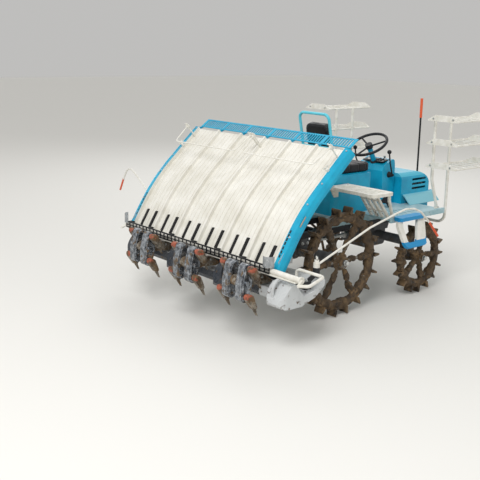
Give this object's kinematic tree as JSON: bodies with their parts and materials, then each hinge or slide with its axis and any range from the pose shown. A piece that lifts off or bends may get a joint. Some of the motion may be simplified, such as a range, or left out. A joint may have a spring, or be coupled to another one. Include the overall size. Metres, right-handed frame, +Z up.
{
  "type": "riding rice transplanter",
  "caption": "Four-wheel riding rice transplanter with a sliding seedling tray, rotary planting arms, floats, swing-out row markers, spare racks and an operator's seat.",
  "frame": {"origin": "on the floor, midway between the rear wheels, below the rear axle", "axes": "+X forward, +Y to the machine's left, +Z up"},
  "size_m": [2.953, 3.515, 1.68],
  "materials": {
    "black_paint": "semi-gloss black paint with dried mud",
    "cast_alloy": "bare cast aluminium, dulled and muddy",
    "cast_iron": "grey painted iron casting with mud",
    "bright_steel": "turned and plated steel",
    "teal_plastic": "moulded turquoise plastic",
    "teal_paint": "turquoise powder coat",
    "guard_paint": "light cyan paint on tube",
    "deck_plastic": "pale blue-grey moulded plastic, wet mud film",
    "step_plastic": "mid-blue moulded plastic",
    "white_plastic": "off-white moulded plastic",
    "white_paint": "off-white enamel on steel tube",
    "seat_vinyl": "black grained vinyl over foam",
    "black_plastic": "black moulded plastic",
    "tyre_rubber": "solid rubber caked with brown mud",
    "rim_paint": "grey paint under brown mud",
    "marker_paint": "white rod with an orange tip",
    "pole_paint": "black rod with an orange top"
  },
  "bodies": {
    "chassis": {"frame": "black_paint", "link_tower": "black_paint", "gearbox": "cast_iron", "rear_axle": "cast_iron", "drive_shaft": "bright_steel", "engine": "cast_iron", "bonnet": "teal_plastic", "dash": "teal_plastic", "deck": "deck_plastic", "step_left": "step_plastic", "step_right": "step_plastic", "rear_step_left": "white_plastic", "rear_step_right": "white_plastic", "pedestal": "teal_plastic", "seat_cushion": "seat_vinyl", "seat_back": "seat_vinyl", "seat_guard": "guard_paint", "rack_left": "white_paint", "rack_right": "white_paint", "centre_pole": "pole_paint", "levers": "black_plastic"},
    "steering_wheel": {"steering_wheel": "black_plastic"},
    "knuckle_left": {"knuckle_left": "cast_iron"},
    "knuckle_right": {"knuckle_right": "cast_iron"},
    "front_wheel_left": {"front_rim_left": "rim_paint", "front_tyre_left": "tyre_rubber"},
    "front_wheel_right": {"front_rim_right": "rim_paint", "front_tyre_right": "tyre_rubber"},
    "rear_wheel_left": {"rear_rim_left": "rim_paint", "rear_tyre_left": "tyre_rubber"},
    "rear_wheel_right": {"rear_rim_right": "rim_paint", "rear_tyre_right": "tyre_rubber"},
    "lower_links": {"lower_links": "black_paint"},
    "upper_link": {"upper_link": "black_paint"},
    "lift_barrel": {"lift_barrel": "black_paint"},
    "lift_rod": {"lift_rod": "bright_steel"},
    "planting_unit": {"planting_frame": "black_paint", "planting_cases": "cast_alloy", "guide_rail": "white_paint", "floats": "white_plastic"},
    "tray": {"tray": "white_plastic", "tray_walls": "white_plastic", "tray_rails": "teal_paint", "tray_grille": "teal_plastic", "stop_rail": "black_plastic", "press_rods": "white_paint"},
    "rotor_left": {"rotor_left": "cast_alloy"},
    "rotor_centre": {"rotor_centre": "cast_alloy"},
    "rotor_right": {"rotor_right": "cast_alloy"},
    "arms_left_a": {"arms_left_a": "cast_alloy"},
    "arms_left_b": {"arms_left_b": "cast_alloy"},
    "arms_centre_a": {"arms_centre_a": "cast_alloy"},
    "arms_centre_b": {"arms_centre_b": "cast_alloy"},
    "arms_right_a": {"arms_right_a": "cast_alloy"},
    "arms_right_b": {"arms_right_b": "cast_alloy"},
    "marker_left": {"marker_left": "marker_paint"},
    "marker_right": {"marker_right": "marker_paint"}
  },
  "joints": [
    {"name": "steer_left", "type": "hinge", "parent": "chassis", "child": "knuckle_left", "pos_m": [1.05, 0.495, 0.325], "axis": [0, 0, 1], "range_deg": [-40, 40]},
    {"name": "front_wheel_left", "type": "hinge", "parent": "knuckle_left", "child": "front_wheel_left", "pos_m": [1.05, 0.6, 0.325], "axis": [0, 1, 0], "continuous": true},
    {"name": "rear_wheel_left", "type": "hinge", "parent": "chassis", "child": "rear_wheel_left", "pos_m": [0, 0.6, 0.45], "axis": [0, 1, 0], "continuous": true},
    {"name": "steer_right", "type": "hinge", "parent": "chassis", "child": "knuckle_right", "pos_m": [1.05, -0.495, 0.325], "axis": [0, 0, 1], "range_deg": [-40, 40]},
    {"name": "front_wheel_right", "type": "hinge", "parent": "knuckle_right", "child": "front_wheel_right", "pos_m": [1.05, -0.6, 0.325], "axis": [0, 1, 0], "continuous": true},
    {"name": "rear_wheel_right", "type": "hinge", "parent": "chassis", "child": "rear_wheel_right", "pos_m": [0, -0.6, 0.45], "axis": [0, 1, 0], "continuous": true},
    {"name": "steering_wheel", "type": "hinge", "parent": "chassis", "child": "steering_wheel", "pos_m": [1.005, 0, 1.275], "axis": [-0.5, 0, 0.866], "range_deg": [-360, 360]},
    {"name": "lift", "type": "hinge", "parent": "chassis", "child": "lower_links", "pos_m": [-0.11, 0, 0.47], "axis": [0, 1, 0], "range_deg": [-10, 45]},
    {"name": "upper_link", "type": "hinge", "parent": "chassis", "child": "upper_link", "pos_m": [-0.07, 0, 0.85], "axis": [0, 1, 0], "range_deg": [-10, 45]},
    {"name": "planting_unit_level", "type": "hinge", "parent": "lower_links", "child": "planting_unit", "pos_m": [-0.67031, 0, 0.41506], "axis": [0, 1, 0], "range_deg": [-45, 10]},
    {"name": "lift_barrel", "type": "hinge", "parent": "chassis", "child": "lift_barrel", "pos_m": [0.12, 0, 0.6], "axis": [0, 1, 0], "range_deg": [-10, 25]},
    {"name": "lift_rod", "type": "slide", "parent": "lift_barrel", "child": "lift_rod", "axis": [-0.9489, 0, 0.3157], "range_m": [-0.03, 0.1]},
    {"name": "tray_slide", "type": "slide", "parent": "planting_unit", "child": "tray", "axis": [0, 1, 0], "range_m": [-0.28, 0]},
    {"name": "rotor_centre", "type": "hinge", "parent": "planting_unit", "child": "rotor_centre", "pos_m": [-1.1, 0, 0.49], "axis": [0, 1, 0], "continuous": true},
    {"name": "arms_centre_a", "type": "hinge", "parent": "rotor_centre", "child": "arms_centre_a", "pos_m": [-1.08695, 0, 0.58914], "axis": [0, 1, 0], "continuous": true},
    {"name": "arms_centre_b", "type": "hinge", "parent": "rotor_centre", "child": "arms_centre_b", "pos_m": [-1.11305, 0, 0.39086], "axis": [0, 1, 0], "continuous": true},
    {"name": "rotor_left", "type": "hinge", "parent": "planting_unit", "child": "rotor_left", "pos_m": [-1.1, 0.6, 0.49], "axis": [0, 1, 0], "continuous": true},
    {"name": "arms_left_a", "type": "hinge", "parent": "rotor_left", "child": "arms_left_a", "pos_m": [-1.08695, 0.6, 0.58914], "axis": [0, 1, 0], "continuous": true},
    {"name": "arms_left_b", "type": "hinge", "parent": "rotor_left", "child": "arms_left_b", "pos_m": [-1.11305, 0.6, 0.39086], "axis": [0, 1, 0], "continuous": true},
    {"name": "rotor_right", "type": "hinge", "parent": "planting_unit", "child": "rotor_right", "pos_m": [-1.1, -0.6, 0.49], "axis": [0, 1, 0], "continuous": true},
    {"name": "arms_right_a", "type": "hinge", "parent": "rotor_right", "child": "arms_right_a", "pos_m": [-1.08695, -0.6, 0.58914], "axis": [0, 1, 0], "continuous": true},
    {"name": "arms_right_b", "type": "hinge", "parent": "rotor_right", "child": "arms_right_b", "pos_m": [-1.11305, -0.6, 0.39086], "axis": [0, 1, 0], "continuous": true},
    {"name": "marker_left", "type": "hinge", "parent": "planting_unit", "child": "marker_left", "pos_m": [-0.65, 0.95, 0.6], "axis": [0, 0, 1], "range_deg": [-72, 18]},
    {"name": "marker_right", "type": "hinge", "parent": "planting_unit", "child": "marker_right", "pos_m": [-0.65, -0.95, 0.6], "axis": [0, 0, 1], "range_deg": [-90, 0]}
  ],
  "couplings": [
    {"joint": "steer_right", "follows": "steer_left", "ratio": 1},
    {"joint": "steering_wheel", "follows": "steer_left", "ratio": 8},
    {"joint": "upper_link", "follows": "lift", "ratio": 1},
    {"joint": "planting_unit_level", "follows": "lift", "ratio": -1},
    {"joint": "lift_barrel", "follows": "lift", "ratio": 0.48},
    {"joint": "lift_rod", "follows": "lift", "m_per_rad": 0.1248},
    {"joint": "arms_centre_a", "follows": "rotor_centre", "ratio": -1},
    {"joint": "arms_centre_b", "follows": "rotor_centre", "ratio": -1},
    {"joint": "rotor_left", "follows": "rotor_centre", "ratio": 1},
    {"joint": "arms_left_a", "follows": "rotor_centre", "ratio": -1},
    {"joint": "arms_left_b", "follows": "rotor_centre", "ratio": -1},
    {"joint": "rotor_right", "follows": "rotor_centre", "ratio": 1},
    {"joint": "arms_right_a", "follows": "rotor_centre", "ratio": -1},
    {"joint": "arms_right_b", "follows": "rotor_centre", "ratio": -1}
  ]
}
